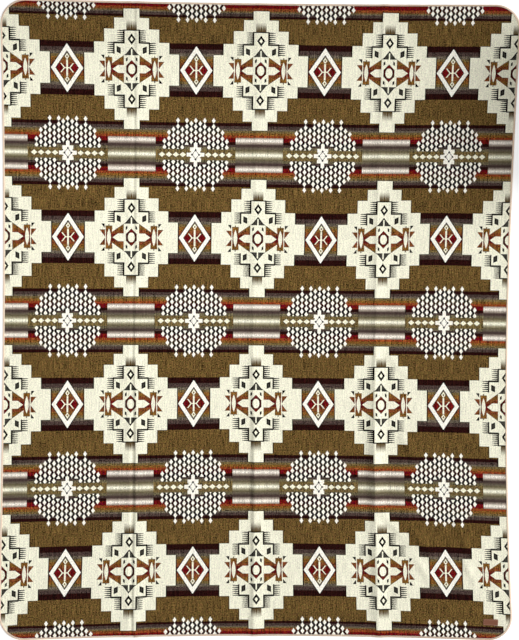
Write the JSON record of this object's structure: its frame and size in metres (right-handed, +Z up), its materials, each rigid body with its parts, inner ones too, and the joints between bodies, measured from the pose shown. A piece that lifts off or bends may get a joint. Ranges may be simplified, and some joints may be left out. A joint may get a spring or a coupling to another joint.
{
  "type": "alpaca blanket",
  "caption": "Woven blanket laid out flat, with round corners, a sewn edge all round and a small bare leather patch near one corner.",
  "frame": {"origin": "on the surface it lies on, under the middle of its outline", "axes": "+X across the blanket, +Y along it towards its top edge, +Z up out of its face"},
  "size_m": [1.9344, 2.3776, 0.0145],
  "materials": {
    "woven_cloth": "soft brushed jacquard weave in cream, brown, rust, red and slate",
    "edging_yarn": "matte pale tan sewing yarn",
    "patch_leather": "smooth brown-red leather with a fine grain"
  },
  "bodies": {
    "root": {"blanket_cloth": "woven_cloth", "edge_binding": "edging_yarn", "corner_patch": "patch_leather"}
  },
  "joints": []
}
